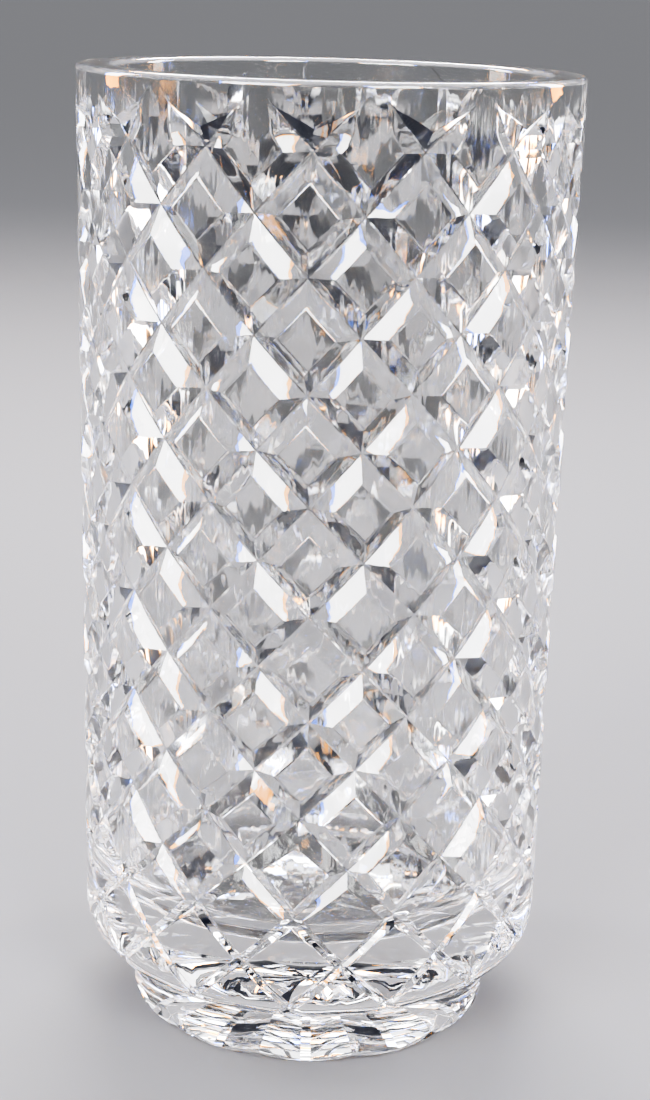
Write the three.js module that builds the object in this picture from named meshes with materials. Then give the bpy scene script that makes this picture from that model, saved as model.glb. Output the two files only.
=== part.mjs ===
// Cut crystal vase: a heavy, nearly straight cylinder of clear crystal on a short applied foot.
// Its wall is cut all round with two crossing families of spiral mitre grooves, which leave
// flat-topped diamonds between them, under a plain polished band at the rim. The underside of
// the foot is hollow, and a star of wide radial mitre cuts covers it.
// Millimetres, +Z up. The origin is the centre of the ring it stands on, and -Y is its front.

import * as THREE from "three";
import { mergeVertices } from "three/addons/utils/BufferGeometryUtils.js";

// Overall form.
const HEIGHT = 250.7;
const RIM_RADIUS = 63.5;
const WAIST_RADIUS = 62.2; // outer radius where the wall meets the shoulder
const SHOULDER_HEIGHT = 28; // height at which the shoulder starts to turn inwards
const FOOT_HEIGHT = 16.5;
const NECK_RADIUS = 51; // where the shoulder meets the foot
const FOOT_RADIUS = 49; // at the standing face
const FOOT_EDGE = 1.2; // bevel round the standing face

// Rim and bore.
const RIM_WALL = 8.7;
const RIM_BEVEL = 1.3;
const BORE_BASE_RADIUS = 52.5; // bore radius just above its rounded floor
const FLOOR_HEIGHT = 35; // inside floor, on the axis
const FLOOR_CORNER = 14; // radius of the curve from the bore to the floor
const FLOOR_STEPS = 6;

// Lattice of grooves. A row is a ring of crossings, counted downwards from the top one, and a
// column is the spacing of the crossings round the ring. Odd rows sit half a column round.
const COLUMNS = 15;
const LAST_ROW = 16;
const TOP_ROW_HEIGHT = 235.2;
const ROW_STEP = 14.07; // spacing at the top row
const ROW_TIGHTENING = 0.05; // how much each further row closes up, towards the foot
const NECK_ROW = LAST_ROW + 1; // the neck, in rows
const LATTICE_TURN = THREE.MathUtils.degToRad(-2.8); // first crossing, round from the front
const GROOVE_DEPTH = 3.2;
const GROOVE_HALF_WIDTH = 0.235; // in columns, measured along the ring
const THINNING_START = 12.4; // row below which the grooves grow shallower and narrower
const THINNING_END = 14.6; // row from which they keep the share below
const THIN_SHARE = 0.3;
const RUN_OUT = 0.22; // how far, in columns, a groove runs past its last crossing
const BAND_STEPS = 6; // straight pieces per column round the plain bands

// Underside: a shallow hollow inside the ring that the vase stands on, and a star of wide cuts.
// The cuts nearly meet, and what is left of the ring between them is flat.
const HOLLOW_RADIUS = 45;
const HOLLOW_HEIGHT = 12; // at the centre
const STAR_POINTS = 12;
const STAR_DEPTH = 1.9; // of each cut, at the side of the foot
const STAR_HALF_WIDTH = 11.4; // likewise
const STAR_INNER_RADIUS = 2; // where the cuts run out
const UNDERSIDE_RADII = [6, 14, 22, 30, 36, 41, HOLLOW_RADIUS, FOOT_RADIUS - FOOT_EDGE, FOOT_RADIUS];

const crystal = () => new THREE.MeshStandardMaterial({ color: 0xf1f5f4, roughness: 0.03, metalness: 0 });

const rowHeight = (row) => TOP_ROW_HEIGHT - ROW_STEP * row + ROW_TIGHTENING * row * row;

// How much of its full depth and width a groove has at a row.
function grooveShare(row) {
  const thinned = THREE.MathUtils.clamp((row - THINNING_START) / (THINNING_END - THINNING_START), 0, 1);
  return THREE.MathUtils.lerp(1, THIN_SHARE, thinned);
}

// Outer radius of the straight part of the wall, which widens slightly towards the rim.
function wallRadius(z) {
  const rise = (z - SHOULDER_HEIGHT) / (HEIGHT - SHOULDER_HEIGHT);
  return THREE.MathUtils.lerp(WAIST_RADIUS, RIM_RADIUS, rise);
}

// Point and outward normal of the uncut outline at a row: the wall, then the rounded shoulder.
function outline(row) {
  const level = rowHeight(row);
  if (level >= SHOULDER_HEIGHT) return { radius: wallRadius(level), z: level, out: 1, up: 0 };
  const turn = ((SHOULDER_HEIGHT - level) / (SHOULDER_HEIGHT - rowHeight(NECK_ROW))) * (Math.PI / 2);
  return {
    radius: NECK_RADIUS + (WAIST_RADIUS - NECK_RADIUS) * Math.cos(turn),
    z: SHOULDER_HEIGHT - (SHOULDER_HEIGHT - FOOT_HEIGHT) * Math.sin(turn),
    out: Math.cos(turn),
    up: -Math.sin(turn),
  };
}

// Point of a ring. Column 0 is the first crossing, and columns run anticlockwise seen from above.
function ringPoint(column, radius, z) {
  const angle = LATTICE_TURN + (column / COLUMNS) * 2 * Math.PI;
  return new THREE.Vector3(radius * Math.sin(angle), -radius * Math.cos(angle), z);
}

function cutPoint([column, row, depth = 0]) {
  const { radius, z, out, up } = outline(row);
  return ringPoint(column, radius - depth * out, z - depth * up);
}

// Convex face from points listed anticlockwise as seen from outside.
function addFace(triangles, points) {
  for (let i = 2; i < points.length; i++) triangles.push(points[0], points[i - 1], points[i]);
}

// A diamond: its flat top, and the four groove walls down to the crossings at its corners.
function addDiamond(triangles, column, row) {
  const corners = [[-0.5, 0], [0, 1], [0.5, 0], [0, -1]];
  const crossing = corners.map(([c, r]) => {
    return cutPoint([column + c, row + r, GROOVE_DEPTH * grooveShare(row + r)]);
  });
  const top = corners.map(([c, r]) => {
    const reach = 1 - 2 * GROOVE_HALF_WIDTH * grooveShare(row + r);
    return cutPoint([column + c * reach, row + r * reach]);
  });
  const middle = cutPoint([column, row]);
  corners.forEach((_, i) => {
    const next = (i + 1) % corners.length;
    addFace(triangles, [crossing[i], crossing[next], top[next]]);
    addFace(triangles, [crossing[i], top[next], top[i]]);
    addFace(triangles, [middle, top[i], top[next]]);
  });
}

// One column of an end of the lattice: the half diamond next to the plain band, the tapering
// ends of the grooves, and the band itself. side is -1 above the top row, and 1 below the last.
function addLatticeEnd(triangles, column, endRow, side, bandRow) {
  const inset = GROOVE_HALF_WIDTH * grooveShare(endRow);
  const depth = GROOVE_DEPTH * grooveShare(endRow);
  const fork = inset / (1 + inset / RUN_OUT);
  const at = (c, r, below) => [column + c, endRow + side * r, below];
  const add = (...places) => {
    const points = places.map(cutPoint);
    addFace(triangles, side < 0 ? points : points.reverse());
  };
  const crossing = at(0, 0, depth);
  const nextCrossing = at(1, 0, depth);
  const innerCrossing = at(0.5, -1, GROOVE_DEPTH * grooveShare(endRow - side));
  const left = at(inset, 0);
  const right = at(1 - inset, 0);
  const inner = at(0.5, -1 + 2 * inset);
  const leftTip = at(RUN_OUT, 2 * RUN_OUT);
  const rightTip = at(1 - RUN_OUT, 2 * RUN_OUT);
  const leftFork = at(0, 2 * fork);
  const rightFork = at(1, 2 * fork);

  add(crossing, innerCrossing, inner);
  add(crossing, inner, left);
  add(innerCrossing, nextCrossing, right);
  add(innerCrossing, right, inner);
  add(crossing, left, leftTip);
  add(crossing, leftTip, leftFork);
  add(nextCrossing, rightTip, right);
  add(nextCrossing, rightFork, rightTip);

  const border = [];
  for (let i = BAND_STEPS; i >= 0; i--) border.push([column + i / BAND_STEPS, bandRow]);
  const patch = [leftFork, leftTip, left, inner, right, rightTip, rightFork, ...border];
  const flat = patch.map(([c, r]) => new THREE.Vector2(c, side * (r - endRow)));
  for (const face of THREE.ShapeUtils.triangulateShape(flat, [])) add(...face.map((i) => patch[i]));
}

// Rings from the top border of the cut wall over the rim and down the bore, as [radius, z].
function rimAndBore() {
  const boreTop = RIM_RADIUS - RIM_WALL;
  const rings = [
    [RIM_RADIUS, HEIGHT - RIM_BEVEL],
    [RIM_RADIUS - RIM_BEVEL, HEIGHT],
    [boreTop + RIM_BEVEL, HEIGHT],
    [boreTop, HEIGHT - RIM_BEVEL],
  ];
  for (let i = 0; i < FLOOR_STEPS; i++) {
    const turn = (i / FLOOR_STEPS) * (Math.PI / 2);
    const radius = BORE_BASE_RADIUS - FLOOR_CORNER * (1 - Math.cos(turn));
    rings.push([radius, FLOOR_HEIGHT + FLOOR_CORNER * (1 - Math.sin(turn))]);
  }
  rings.push([BORE_BASE_RADIUS - FLOOR_CORNER, FLOOR_HEIGHT]);
  return rings;
}

function addRings(triangles, rings) {
  const steps = COLUMNS * BAND_STEPS;
  for (let i = 0; i < steps; i++) {
    const [here, next] = [i / BAND_STEPS, (i + 1) / BAND_STEPS];
    for (let k = 1; k < rings.length; k++) {
      const [low, high] = [rings[k - 1], rings[k]];
      addFace(triangles, [
        ringPoint(here, ...low), ringPoint(next, ...low), ringPoint(next, ...high), ringPoint(here, ...high),
      ]);
    }
  }
}

// Closes the first ring downwards or the last ring upwards with a flat disc.
function addDisc(triangles, radius, z, facesUp) {
  const steps = COLUMNS * BAND_STEPS;
  const centre = new THREE.Vector3(0, 0, z);
  for (let i = 0; i < steps; i++) {
    const [here, next] = [ringPoint(i / BAND_STEPS, radius, z), ringPoint((i + 1) / BAND_STEPS, radius, z)];
    addFace(triangles, facesUp ? [centre, here, next] : [centre, next, here]);
  }
}

function vaseBody() {
  const triangles = [];
  const topBandRow = -1;
  for (let column = 0; column < COLUMNS; column++) {
    for (let row = 1; row < LAST_ROW; row++) addDiamond(triangles, column + (row % 2 ? 0 : 0.5), row);
    addLatticeEnd(triangles, column, 0, -1, topBandRow);
    addLatticeEnd(triangles, column, LAST_ROW, 1, NECK_ROW);
  }
  const bandTop = outline(topBandRow);
  const rings = [[bandTop.radius, bandTop.z], ...rimAndBore()];
  addRings(triangles, rings);
  addDisc(triangles, ...rings.at(-1), true);
  addDisc(triangles, NECK_RADIUS, FOOT_HEIGHT, false);
  return mergeVertices(new THREE.BufferGeometry().setFromPoints(triangles), 1e-4);
}

// Depth of the star's cuts along their valleys.
function starDepth(radius) {
  return (STAR_DEPTH * (radius - STAR_INNER_RADIUS)) / (FOOT_RADIUS - STAR_INNER_RADIUS);
}

// Height of the underside at a radius, so far to the side of the nearest cut's valley.
function undersideHeight(radius, aside) {
  const cut = Math.max(starDepth(radius) - (STAR_DEPTH / STAR_HALF_WIDTH) * aside, 0);
  const edge = radius - (FOOT_RADIUS - FOOT_EDGE);
  if (edge > 0) return Math.max(edge, cut);
  return HOLLOW_HEIGHT * Math.max(1 - (radius / HOLLOW_RADIUS) ** 2, 0) + cut;
}

// One ring of the underside. Each cut has its valley, its two walls and the flat next to it.
function undersideRing(radius) {
  const sector = (2 * Math.PI) / STAR_POINTS;
  const reach = Math.asin((starDepth(radius) / STAR_DEPTH) * (STAR_HALF_WIDTH / radius));
  const ring = [];
  for (let i = 0; i < STAR_POINTS; i++) {
    for (const turn of [-sector / 2, -reach, -reach / 2, 0, reach / 2, reach]) {
      const angle = (i + 0.5) * sector + turn;
      const z = undersideHeight(radius, radius * Math.abs(Math.sin(turn)));
      ring.push(new THREE.Vector3(radius * Math.sin(angle), -radius * Math.cos(angle), z));
    }
  }
  return ring;
}

function foot() {
  const triangles = [];
  const rings = UNDERSIDE_RADII.map(undersideRing);
  const widening = NECK_RADIUS / FOOT_RADIUS;
  const top = rings.at(-1).map((point) => point.clone().multiplyScalar(widening).setZ(FOOT_HEIGHT));
  rings.push(top);
  const hollowCentre = new THREE.Vector3(0, 0, HOLLOW_HEIGHT);
  const topCentre = new THREE.Vector3(0, 0, FOOT_HEIGHT);
  top.forEach((_, i) => {
    const next = (i + 1) % top.length;
    addFace(triangles, [hollowCentre, rings[0][next], rings[0][i]]);
    for (let k = 1; k < rings.length; k++) {
      addFace(triangles, [rings[k - 1][i], rings[k - 1][next], rings[k][next], rings[k][i]]);
    }
    addFace(triangles, [topCentre, top[i], top[next]]);
  });
  return mergeVertices(new THREE.BufferGeometry().setFromPoints(triangles), 1e-4);
}

function piece(name, geometry) {
  const mesh = new THREE.Mesh(geometry, crystal());
  mesh.name = name;
  return mesh;
}

const vase = new THREE.Group();
vase.add(piece("vase_body", vaseBody()), piece("foot", foot()));

export default vase;
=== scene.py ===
import math

import bmesh
import bpy
import numpy as np
from mathutils import Matrix, Vector


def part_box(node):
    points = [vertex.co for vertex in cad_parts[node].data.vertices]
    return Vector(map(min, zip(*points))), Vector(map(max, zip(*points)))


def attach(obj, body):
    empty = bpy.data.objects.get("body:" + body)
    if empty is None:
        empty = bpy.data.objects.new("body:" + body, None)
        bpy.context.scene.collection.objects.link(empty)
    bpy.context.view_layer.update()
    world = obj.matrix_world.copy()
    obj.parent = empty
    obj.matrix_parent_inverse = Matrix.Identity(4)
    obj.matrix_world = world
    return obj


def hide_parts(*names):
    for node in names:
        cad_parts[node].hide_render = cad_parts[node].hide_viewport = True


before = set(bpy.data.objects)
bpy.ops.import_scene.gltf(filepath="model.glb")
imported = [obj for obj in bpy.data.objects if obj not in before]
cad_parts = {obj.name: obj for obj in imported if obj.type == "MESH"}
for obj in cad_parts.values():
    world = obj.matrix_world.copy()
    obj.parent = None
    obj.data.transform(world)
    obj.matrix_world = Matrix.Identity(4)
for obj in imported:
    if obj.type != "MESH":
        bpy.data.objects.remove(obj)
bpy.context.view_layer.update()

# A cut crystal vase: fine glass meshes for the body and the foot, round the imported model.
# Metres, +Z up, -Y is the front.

MM = 0.001

# Main sizes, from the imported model.
body_low, body_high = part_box("vase_body")
foot_low, foot_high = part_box("foot")
HEIGHT = body_high[2]
RIM_RADIUS = (body_high[0] - body_low[0]) / 2
FOOT_HEIGHT = foot_high[2]
NECK_RADIUS = (foot_high[0] - foot_low[0]) / 2

# Outline below the rim.
WAIST_RADIUS = 62.2 * MM  # where the wall meets the shoulder
SHOULDER_HEIGHT = 28 * MM  # where the shoulder starts to turn inwards
FOOT_RADIUS = 49 * MM  # at the standing face
FOOT_EDGE = 1.2 * MM
FOOT_FLARE = 1.6  # its side widens to the neck as its height to this power
SIDE_RINGS = 9

# Rim and bore.
RIM_WALL = 8.7 * MM
RIM_BEVEL = 1.3 * MM
BORE_TOP_RADIUS = RIM_RADIUS - RIM_WALL
BORE_BASE_RADIUS = 52.5 * MM
FLOOR_HEIGHT = 35 * MM
FLOOR_CORNER = 14 * MM
BEVEL_STEPS = 5
BORE_RINGS = 12
CORNER_STEPS = 10
FLOOR_RINGS = (0.75, 0.5, 0.25, 0.08)  # shares of the flat floor's radius

# Lattice of grooves: rows of crossings downwards, columns round.
COLUMNS = 15
LAST_ROW = 16
TOP_ROW_HEIGHT = 235.2 * MM
ROW_STEP = 14.07 * MM
ROW_TIGHTENING = 0.05 * MM
LATTICE_TURN = math.radians(-2.8)
GROOVE_DEPTH = 3.2 * MM
GROOVE_HALF_WIDTH = 0.235  # this and the next two in columns
VALLEY_HALF_WIDTH = 0.012  # of the rounding along the bottom of a groove
EDGE_HALF_WIDTH = 0.015  # of the rounding along each side of it
TOP_RUN_OUT = (0.0, 0.62)  # above which row the grooves run out, and over how many rows
BOTTOM_RUN_OUT = (LAST_ROW, 1.0)  # the same, below a row
THINNING = (12.4, 14.6, 0.3)  # rows between which the grooves thin out, and the share left
WALL_STEPS = 3  # grid steps up a groove's wall
TOP_STEPS = 6  # grid steps over a diamond's flat top
SETTLING_ROUNDS = 8
HAND_SHIFT = 0.022  # how far, in columns, a groove strays from its true place
HAND_WIDTH = 0.06  # share by which a groove's width varies
HAND_END = 0.15  # share by which the length of its run-out varies
CALM_ROWS = 0.5  # over how many rows at each end the grooves stop straying
SWAY = 0.06  # how far, in columns, the whole lattice sways on its way down
SWAY_MIDDLE_ROW = 5.5
SWAY_ROWS = 7  # rows from one crossing of its true line to the next

# Underside: a hollow inside the ring it stands on, and a star of wide cuts.
HOLLOW_RADIUS = 45 * MM
HOLLOW_HEIGHT = 12 * MM
STAR_POINTS = 12
STAR_DEPTH = 1.9 * MM
STAR_HALF_WIDTH = 11.4 * MM
STAR_INNER_RADIUS = 2 * MM
UNDERSIDE_RADII = np.concatenate([
    [4 * MM, 8 * MM, 12 * MM], np.linspace(15 * MM, HOLLOW_RADIUS, 16),
    np.linspace(HOLLOW_RADIUS, FOOT_RADIUS - FOOT_EDGE, 3)[1:],
    [FOOT_RADIUS - FOOT_EDGE / 2, FOOT_RADIUS]])
STAR_STEPS = 13  # places across a cut

# Meshes: vertices closer than WELD are one, and edges sharper than these angles stay crisp.
WELD = 0.012 * MM
SLIVER = 0.005 * MM
CREASE_ANGLE = math.radians(19)
FOOT_CREASE_ANGLE = math.radians(6)

# Lead crystal, and the height and fineness of its unevenness.
TINT = (0.84, 0.843, 0.836)
REFRACTIVE_INDEX = 1.545
UNEVENNESS = 0.6 * MM
UNEVENNESS_DETAIL = 2

# Studio. Radiances are relative to a white of 1.
FLOOR_SIZE = 60
FLOOR_GAP = 0.3 * MM
FLOOR_COLOUR = (0.1, 0.101, 0.103)
FLOOR_ROUGHNESS = 0.8
HORIZON, HAZE = (0.2, 0.202, 0.207), (0.14, 0.141, 0.145)
DUSK, CEILING = (0.02, 0.024, 0.04), (3.0, 3.0, 3.1)
SKY = (  # sine of the elevation, colour
    (0.0, HORIZON), (0.05, HAZE), (0.18, DUSK), (0.62, DUSK), (0.78, CEILING), (1.0, CEILING),
)
SOFTBOXES = (  # azimuth and elevation in degrees, distance, size, radiance
    ("front_left", -33, 28, 1.2, (0.6, 0.5), 36),
    ("front_right", 28, 32, 1.2, (0.4, 0.5), 36),
    ("rim_left", -110, 20, 1.3, (0.25, 0.8), 30),
    ("rim_right", 115, 20, 1.3, (0.25, 0.8), 30),
    ("back", 180, 42, 1.3, (0.8, 0.3), 50),
)
BLUE, AMBER = (0.06, 0.2, 1.0), (1.0, 0.4, 0.03)
FRINGE = 0.03  # width of the coloured panels
BOUNCES = 32
CONTRAST = "AgX - High Contrast"

# Camera.
CAMERA_PLACE = (0, -0.5059, 0.2737)
PITCH, YAW, ROLL = math.radians(16.33), math.radians(0.18), math.radians(1.6)
LENS = 64.62

rng = np.random.default_rng(7)


def row_height(row):
    return TOP_ROW_HEIGHT - ROW_STEP * row + ROW_TIGHTENING * row * row


def outline(row):
    """Radius, height and outward normal of the uncut outline at rows of the lattice."""
    level = row_height(row)
    rise = (level - SHOULDER_HEIGHT) / (HEIGHT - SHOULDER_HEIGHT)
    wall = WAIST_RADIUS + (RIM_RADIUS - WAIST_RADIUS) * rise
    neck_level = row_height(LAST_ROW + 1)
    turn = np.clip((SHOULDER_HEIGHT - level) / (SHOULDER_HEIGHT - neck_level), 0, 1) * math.pi / 2
    below = level < SHOULDER_HEIGHT
    radius = np.where(below, NECK_RADIUS + (WAIST_RADIUS - NECK_RADIUS) * np.cos(turn), wall)
    z = np.where(below, SHOULDER_HEIGHT - (SHOULDER_HEIGHT - FOOT_HEIGHT) * np.sin(turn), level)
    return radius, z, np.cos(turn), -np.sin(turn)


def turned(angle, radius, z):
    """Points at angles round the axis, counted from the front towards the right."""
    return np.stack([radius * np.sin(angle), -radius * np.cos(angle), z + 0 * angle], -1)


def ring(column, radius, z):
    """Points round the axis, at places counted in columns of the lattice."""
    return turned(LATTICE_TURN + np.asarray(column) / COLUMNS * 2 * math.pi, radius, z)


def hand(count, spread):
    """Small fixed irregularities, one for each groove of a family."""
    return rng.uniform(-spread, spread, count)


def half_groove():
    """Distances from a groove's middle of the grid lines up one of its walls, in columns."""
    wall = np.linspace(VALLEY_HALF_WIDTH, GROOVE_HALF_WIDTH - EDGE_HALF_WIDTH, WALL_STEPS + 1)
    return np.concatenate([[0.0], wall, [GROOVE_HALF_WIDTH + EDGE_HALF_WIDTH]])


def family(index, half, taper, shift, width):
    """Lattice coordinate and depth of grid lines of one family of grooves.

    index counts grid lines, half is what half_groove gives, taper is how much of the groove is
    left at each vertex, and shift and width are each groove's own."""
    steps = 2 * (len(half) - 1) + TOP_STEPS
    cell, place = np.divmod(index, steps)
    left, right = cell % COLUMNS, (cell + 1) % COLUMNS
    last = len(half) - 1
    near_left, near_right = place <= last, place >= steps - last
    left_reach = half[np.clip(place, 0, last)]
    right_reach = half[np.clip(steps - place, 0, last)]
    low = shift[left] + half[last] * width[left] * taper
    high = 1 + shift[right] - half[last] * width[right] * taper
    share = (place - last) / TOP_STEPS
    inside = np.where(
        near_left, shift[left] + left_reach * width[left] * taper,
        np.where(near_right, 1 + shift[right] - right_reach * width[right] * taper,
                 low + (high - low) * share))
    reach = np.where(near_left, left_reach, np.where(near_right, right_reach, half[last]))
    kept = np.clip(1 - np.maximum(reach, VALLEY_HALF_WIDTH) / GROOVE_HALF_WIDTH, 0, None)
    strength = np.where(near_left, width[left], np.where(near_right, width[right], 1))
    return cell + inside, GROOVE_DEPTH * kept * taper * strength


def cut_wall():
    """Vertices and faces of the whole cut wall, from the plain band down to the neck."""
    half = half_groove()
    steps = 2 * (len(half) - 1) + TOP_STEPS
    count = COLUMNS * steps
    # across and along count the grid lines of the two families of grooves, called u and v, and
    # the difference between them goes down the wall.
    down = np.arange(-steps, (LAST_ROW + 1) * steps + 1)[:, None]
    along = np.arange(count)[None, :]
    across = down + along
    u_shift, v_shift = hand(COLUMNS, HAND_SHIFT), hand(COLUMNS, HAND_SHIFT)
    u_width, v_width = 1 + hand(COLUMNS, HAND_WIDTH), 1 + hand(COLUMNS, HAND_WIDTH)
    u_end, v_end = 1 + hand(COLUMNS, HAND_END), 1 + hand(COLUMNS, HAND_END)
    row = down / steps + 0 * along
    straying = np.clip(np.minimum(row + 1, LAST_ROW + 1 - row) / CALM_ROWS, 0, 1)
    u_cell = np.round(across / steps).astype(int) % COLUMNS
    v_cell = np.round(along / steps).astype(int) % COLUMNS + 0 * down

    def taper(end):
        above = np.clip((TOP_RUN_OUT[0] - row) / (TOP_RUN_OUT[1] * end), 0, 1)
        below = np.clip((row - BOTTOM_RUN_OUT[0]) / BOTTOM_RUN_OUT[1], 0, 1)
        first, last, left = THINNING
        thin = 1 - (1 - left) * np.clip((row - first) / (last - first), 0, 1)
        return (1 - above**2) * (1 - below**2) * thin

    # A vertex's row depends on how far the grooves have tapered there, so this settles in rounds.
    for _ in range(SETTLING_ROUNDS):
        u_left, v_left = taper(u_end[u_cell]), taper(v_end[v_cell])
        u, u_depth = family(across, half, u_left, u_shift, u_width)
        v, v_depth = family(along + 0 * down, half, v_left, v_shift, v_width)
        true_u, _ = family(across, half, u_left, 0 * u_shift, u_width)
        true_v, _ = family(along + 0 * down, half, v_left, 0 * v_shift, v_width)
        u = true_u + (u - true_u) * straying
        v = true_v + (v - true_v) * straying
        row = (row + np.clip(u - v, -1, LAST_ROW + 1)) / 2
    depth = np.maximum(u_depth, v_depth)
    radius, z, out, up = outline(np.clip(u - v, -1, LAST_ROW + 1))
    sway = SWAY * np.sin(math.pi * (row - SWAY_MIDDLE_ROW) / SWAY_ROWS) * straying
    points = ring((u + v) / 2 + sway, radius - depth * out, z - depth * up)

    rows = len(down)

    def vertex(d, a):
        return d * count + a % count

    d_grid, a_grid = np.meshgrid(np.arange(rows), np.arange(count), indexing="ij")
    d, a = d_grid.ravel(), a_grid.ravel()
    # Each cell of the grid is split along the crease that the two grooves share there.
    place_u, place_v = (d - steps + a) % steps, a % steps
    mixed = (place_u < steps / 2) != (place_v < steps / 2)
    here, next_a = vertex(d, a), vertex(d, a + 1)
    lower = np.where(d + 1 < rows, vertex(np.minimum(d + 1, rows - 1), a), -1)
    upper = np.where(d > 0, vertex(np.maximum(d - 1, 0), a + 1), -1)
    whole = (lower >= 0) & (upper >= 0)
    tall = whole & mixed
    flat = ~mixed | ~whole
    faces = []
    for keep, triangle in (
        (flat & (lower >= 0), (here, lower, next_a)),
        (flat & (upper >= 0), (here, next_a, upper)),
        (tall, (here, lower, upper)),
        (tall, (lower, next_a, upper)),
    ):
        faces.append(np.stack([t[keep] for t in triangle], -1))
    return points.reshape(-1, 3), np.concatenate(faces), 0


def rings_mesh(rings):
    """Quads between stacked rings. rings is an array (ring, column, 3)."""
    total, count = rings.shape[:2]
    index = np.arange(total * count).reshape(total, count)
    following = np.roll(index, -1, axis=1)
    quads = np.stack([index[:-1], following[:-1], following[1:], index[1:]], -1)
    return rings.reshape(-1, 3), quads.reshape(-1, 4)


def add(name, data):
    """New object in the scene."""
    thing = bpy.data.objects.new(name, data)
    bpy.context.scene.collection.objects.link(thing)
    return thing


def build(name, crease, *parts):
    """One mesh object from several (points, faces, material slot) parts, welded together."""
    bm = bmesh.new()
    for points, faces, slot in parts:
        made = [bm.verts.new(p) for p in points.tolist()]
        for face in faces.tolist():
            bm.faces.new([made[i] for i in face]).material_index = slot
    bmesh.ops.remove_doubles(bm, verts=bm.verts, dist=WELD)
    bmesh.ops.dissolve_degenerate(bm, edges=bm.edges, dist=SLIVER)
    bmesh.ops.recalc_face_normals(bm, faces=bm.faces)
    mesh = bpy.data.meshes.new(name)
    bm.to_mesh(mesh)
    bm.free()
    mesh.shade_smooth()
    mesh.set_sharp_from_angle(angle=crease)
    piece = add(name, mesh)
    # Large faces stay flat, and the narrow ones along each cut edge round off between them.
    polish = piece.modifiers.new("polish", "WEIGHTED_NORMAL")
    polish.mode = "FACE_AREA"
    polish.keep_sharp = True
    return piece


def arc(center, radius, start, end, steps):
    """Points round part of a circle, between two angles in degrees."""
    turns = np.radians(np.linspace(start, end, steps + 1))
    return [(center[0] + radius * math.cos(t), center[1] + radius * math.sin(t)) for t in turns]


def lathe(profile, slot, closed=False):
    """Parts turned from (radius, z) pairs. closed adds a fan over the last ring.

    They have as many sides as the cut wall has where its grooves have run out."""
    columns = np.arange(COLUMNS * TOP_STEPS) / TOP_STEPS
    points, quads = rings_mesh(np.array([ring(columns, radius, z) for radius, z in profile]))
    parts = [(points, quads, slot)]
    if closed:
        count = len(columns)
        start = len(points) - count
        centre = np.array([[0, 0, profile[-1][1]]])
        fan = [(start + i, start + (i + 1) % count, len(points)) for i in range(count)]
        parts.append((np.concatenate([points, centre]), np.array(fan), slot))
    return parts


def rim():
    """The plain band's top edge and the flat, bevelled rim."""
    band = outline(np.array(-1.0))
    profile = [(float(band[0]), float(band[1]))]
    profile += arc((RIM_RADIUS - RIM_BEVEL, HEIGHT - RIM_BEVEL), RIM_BEVEL, 0, 90, BEVEL_STEPS)
    profile += arc((BORE_TOP_RADIUS + RIM_BEVEL, HEIGHT - RIM_BEVEL), RIM_BEVEL, 90, 180, BEVEL_STEPS)
    return lathe(profile, 0)


def bore():
    """The inside wall, and its smoother rounded floor."""
    corner = (BORE_BASE_RADIUS - FLOOR_CORNER, FLOOR_HEIGHT + FLOOR_CORNER)
    top = HEIGHT - RIM_BEVEL
    narrowing = BORE_BASE_RADIUS - BORE_TOP_RADIUS
    wall = [(BORE_TOP_RADIUS + narrowing * share, top + (corner[1] - top) * share)
            for share in np.linspace(0, 1, BORE_RINGS)]
    floor = arc(corner, FLOOR_CORNER, 0, -90, CORNER_STEPS)
    floor += [(corner[0] * share, FLOOR_HEIGHT) for share in FLOOR_RINGS]
    return lathe(wall, 1) + lathe(floor, 0, closed=True)


def star_depth(radius):
    """Depth of the star's cuts along their valleys."""
    return STAR_DEPTH * (radius - STAR_INNER_RADIUS) / (FOOT_RADIUS - STAR_INNER_RADIUS)


def star_turns(radius):
    """Angles from a cut's valley of the middle of the flat before it and the places across it."""
    reach = math.asin(star_depth(radius) / STAR_DEPTH * STAR_HALF_WIDTH / radius)
    return np.concatenate([[-math.pi / STAR_POINTS], np.linspace(-reach, reach, STAR_STEPS)])


def foot_ring(radius):
    """Angles and heights of one ring of the underside."""
    turns = star_turns(radius)
    cut = star_depth(radius) - STAR_DEPTH / STAR_HALF_WIDTH * radius * np.abs(np.sin(turns))
    edge = radius - (FOOT_RADIUS - FOOT_EDGE)
    if edge > 0:
        low = np.maximum(cut, edge)
    else:
        low = np.maximum(cut, 0) + HOLLOW_HEIGHT * max(1 - (radius / HOLLOW_RADIUS) ** 2, 0)
    middles = (np.arange(STAR_POINTS) + 0.5) * 2 * math.pi / STAR_POINTS
    angles = (middles[:, None] + turns[None, :]).ravel()
    return angles, np.tile(low, STAR_POINTS)


def foot_mesh():
    """Parts of the foot: its underside and its side, open at the top where the body sits."""
    rings = []
    for radius in UNDERSIDE_RADII:
        angles, low = foot_ring(radius)
        rings.append(turned(angles, radius, low))
    for share in np.linspace(0, 1, SIDE_RINGS)[1:]:
        z = low + (FOOT_HEIGHT - low) * share
        radius = FOOT_RADIUS + (NECK_RADIUS - FOOT_RADIUS) * (z / FOOT_HEIGHT) ** FOOT_FLARE
        rings.append(turned(angles, radius, z))
    points, quads = rings_mesh(np.array(rings))
    count = len(angles)
    centre = np.array([[0, 0, HOLLOW_HEIGHT]])
    fan = [((i + 1) % count, i, len(points)) for i in range(count)]
    return [(points, quads, 0), (np.concatenate([points, centre]), np.array(fan), 0)]


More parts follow.
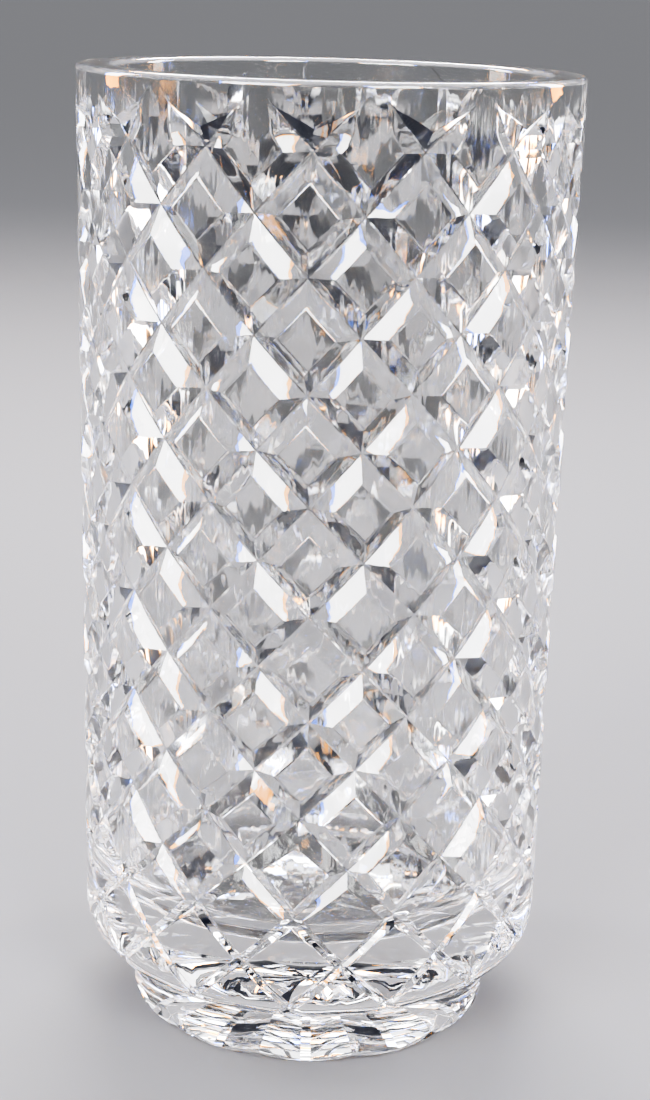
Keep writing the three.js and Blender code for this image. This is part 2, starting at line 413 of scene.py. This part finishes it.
def crystal(name, roughness=0.0, grain=(1, 1, 1), scale=90, strength=0.04):
    """Clear, heavy lead crystal. scale, strength and grain are of its unevenness, which grain
    draws out along an axis."""
    material = bpy.data.materials.new(name)
    material.use_nodes = True
    nodes, links = material.node_tree.nodes, material.node_tree.links
    glass = nodes["Principled BSDF"]
    glass.inputs["Base Color"].default_value = (*TINT, 1)
    glass.inputs["Roughness"].default_value = roughness
    glass.inputs["IOR"].default_value = REFRACTIVE_INDEX
    glass.inputs["Transmission Weight"].default_value = 1.0
    place = nodes.new("ShaderNodeTexCoord")
    stretch = nodes.new("ShaderNodeMapping")
    stretch.inputs["Scale"].default_value = grain
    noise = nodes.new("ShaderNodeTexNoise")
    noise.inputs["Scale"].default_value = scale
    noise.inputs["Detail"].default_value = UNEVENNESS_DETAIL
    bump = nodes.new("ShaderNodeBump")
    bump.inputs["Strength"].default_value = strength
    bump.inputs["Distance"].default_value = UNEVENNESS
    links.new(place.outputs["Object"], stretch.inputs["Vector"])
    links.new(stretch.outputs["Vector"], noise.inputs["Vector"])
    links.new(noise.outputs["Fac"], bump.inputs["Height"])
    links.new(bump.outputs["Normal"], glass.inputs["Normal"])
    return material


def panel(name, place, turn, size, radiance, colour):
    """Flat lamp that the camera doesn't see."""
    lamp = bpy.data.lights.new(name, "AREA")
    lamp.shape = "RECTANGLE"
    lamp.size, lamp.size_y = size
    lamp.energy = radiance * math.pi * size[0] * size[1]
    lamp.color = colour
    light = add(name, lamp)
    light.visible_camera = False
    light.location = place
    light.rotation_euler = turn.to_euler()


def softbox(name, azimuth, elevation, distance, size, radiance):
    """White lamp that faces the vase. Azimuth 0 is in front of it, and 90 to its right.

    Crystal splits the edges of what it mirrors into colours, so narrow blue and amber panels
    line the lamp's sides."""
    around, above = math.radians(azimuth), math.radians(elevation)
    flat = math.cos(above)
    away = Vector((math.sin(around) * flat, -math.cos(around) * flat, math.sin(above)))
    middle = Vector((0, 0, HEIGHT / 2)) + distance * away
    turn = away.to_track_quat("Z", "Y")
    panel(name, middle, turn, size, radiance, (1, 1, 1))
    width, height = size
    for side, colour in ((-1, BLUE), (1, AMBER)):
        beside = turn @ Vector((side * (width + FRINGE) / 2, 0, 0))
        panel(f"{name}_side", middle + beside, turn, (FRINGE, height), radiance, colour)
        beyond = turn @ Vector((0, -side * (height + FRINGE) / 2, 0))
        panel(f"{name}_end", middle + beyond, turn, (width, FRINGE), radiance, colour)


def sky():
    """Soft studio surround, from the horizon to the ceiling."""
    world = bpy.data.worlds.new("studio")
    bpy.context.scene.world = world
    world.use_nodes = True
    nodes, links = world.node_tree.nodes, world.node_tree.links
    place = nodes.new("ShaderNodeTexCoord")
    split = nodes.new("ShaderNodeSeparateXYZ")
    ramp = nodes.new("ShaderNodeValToRGB")
    stops = ramp.color_ramp.elements
    while len(stops) < len(SKY):
        stops.new(0.5)
    for stop, (level, colour) in zip(stops, SKY):
        stop.position, stop.color = level, (*colour, 1)
    links.new(place.outputs["Generated"], split.inputs[0])
    links.new(split.outputs["Z"], ramp.inputs["Fac"])
    links.new(ramp.outputs["Color"], nodes["Background"].inputs["Color"])


def studio():
    """The surround, the lamps and a plain floor just under the vase."""
    sky()
    for box in SOFTBOXES:
        softbox(*box)

    corners = [(-FLOOR_SIZE, -FLOOR_SIZE), (FLOOR_SIZE, -FLOOR_SIZE),
               (FLOOR_SIZE, FLOOR_SIZE), (-FLOOR_SIZE, FLOOR_SIZE)]
    mesh = bpy.data.meshes.new("floor")
    mesh.from_pydata([(x, y, -FLOOR_GAP) for x, y in corners], [], [(0, 1, 2, 3)])
    floor = add("floor", mesh)
    material = bpy.data.materials.new("floor")
    material.use_nodes = True
    surface = material.node_tree.nodes["Principled BSDF"]
    surface.inputs["Base Color"].default_value = (*FLOOR_COLOUR, 1)
    surface.inputs["Roughness"].default_value = FLOOR_ROUGHNESS
    mesh.materials.append(material)
    # Glass this deep needs more bounces of light than the defaults, and its sparkle more contrast.
    paths = bpy.context.scene.cycles
    paths.max_bounces = paths.glossy_bounces = paths.transmission_bounces = BOUNCES
    bpy.context.scene.view_settings.look = CONTRAST


def camera():
    """Camera just above the height of the rim, looking down and rolled slightly."""
    data = bpy.data.cameras.new("camera")
    data.lens = LENS
    view = add("camera", data)
    flat = math.cos(PITCH)
    forward = Vector((math.sin(YAW) * flat, math.cos(YAW) * flat, -math.sin(PITCH)))
    right = Vector((math.cos(YAW), -math.sin(YAW), 0))
    up = right.cross(forward)
    tilted_right = right * math.cos(ROLL) + up * math.sin(ROLL)
    tilted_up = up * math.cos(ROLL) - right * math.sin(ROLL)
    turn = Matrix((tilted_right, tilted_up, -forward)).transposed()
    view.matrix_world = Matrix.Translation(CAMERA_PLACE) @ turn.to_4x4()
    bpy.context.scene.camera = view


body = build("crystal_body", CREASE_ANGLE, cut_wall(), *rim(), *bore())
body.data.materials.append(crystal("body_crystal"))
body.data.materials.append(
    crystal("bore_crystal", roughness=0.06, grain=(1, 1, 0.08), scale=220, strength=0.4))
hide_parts("vase_body")
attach(body, "root")

foot = build("crystal_foot", FOOT_CREASE_ANGLE, *foot_mesh())
foot.data.materials.append(crystal("foot_crystal"))
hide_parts("foot")
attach(foot, "root")

studio()
camera()
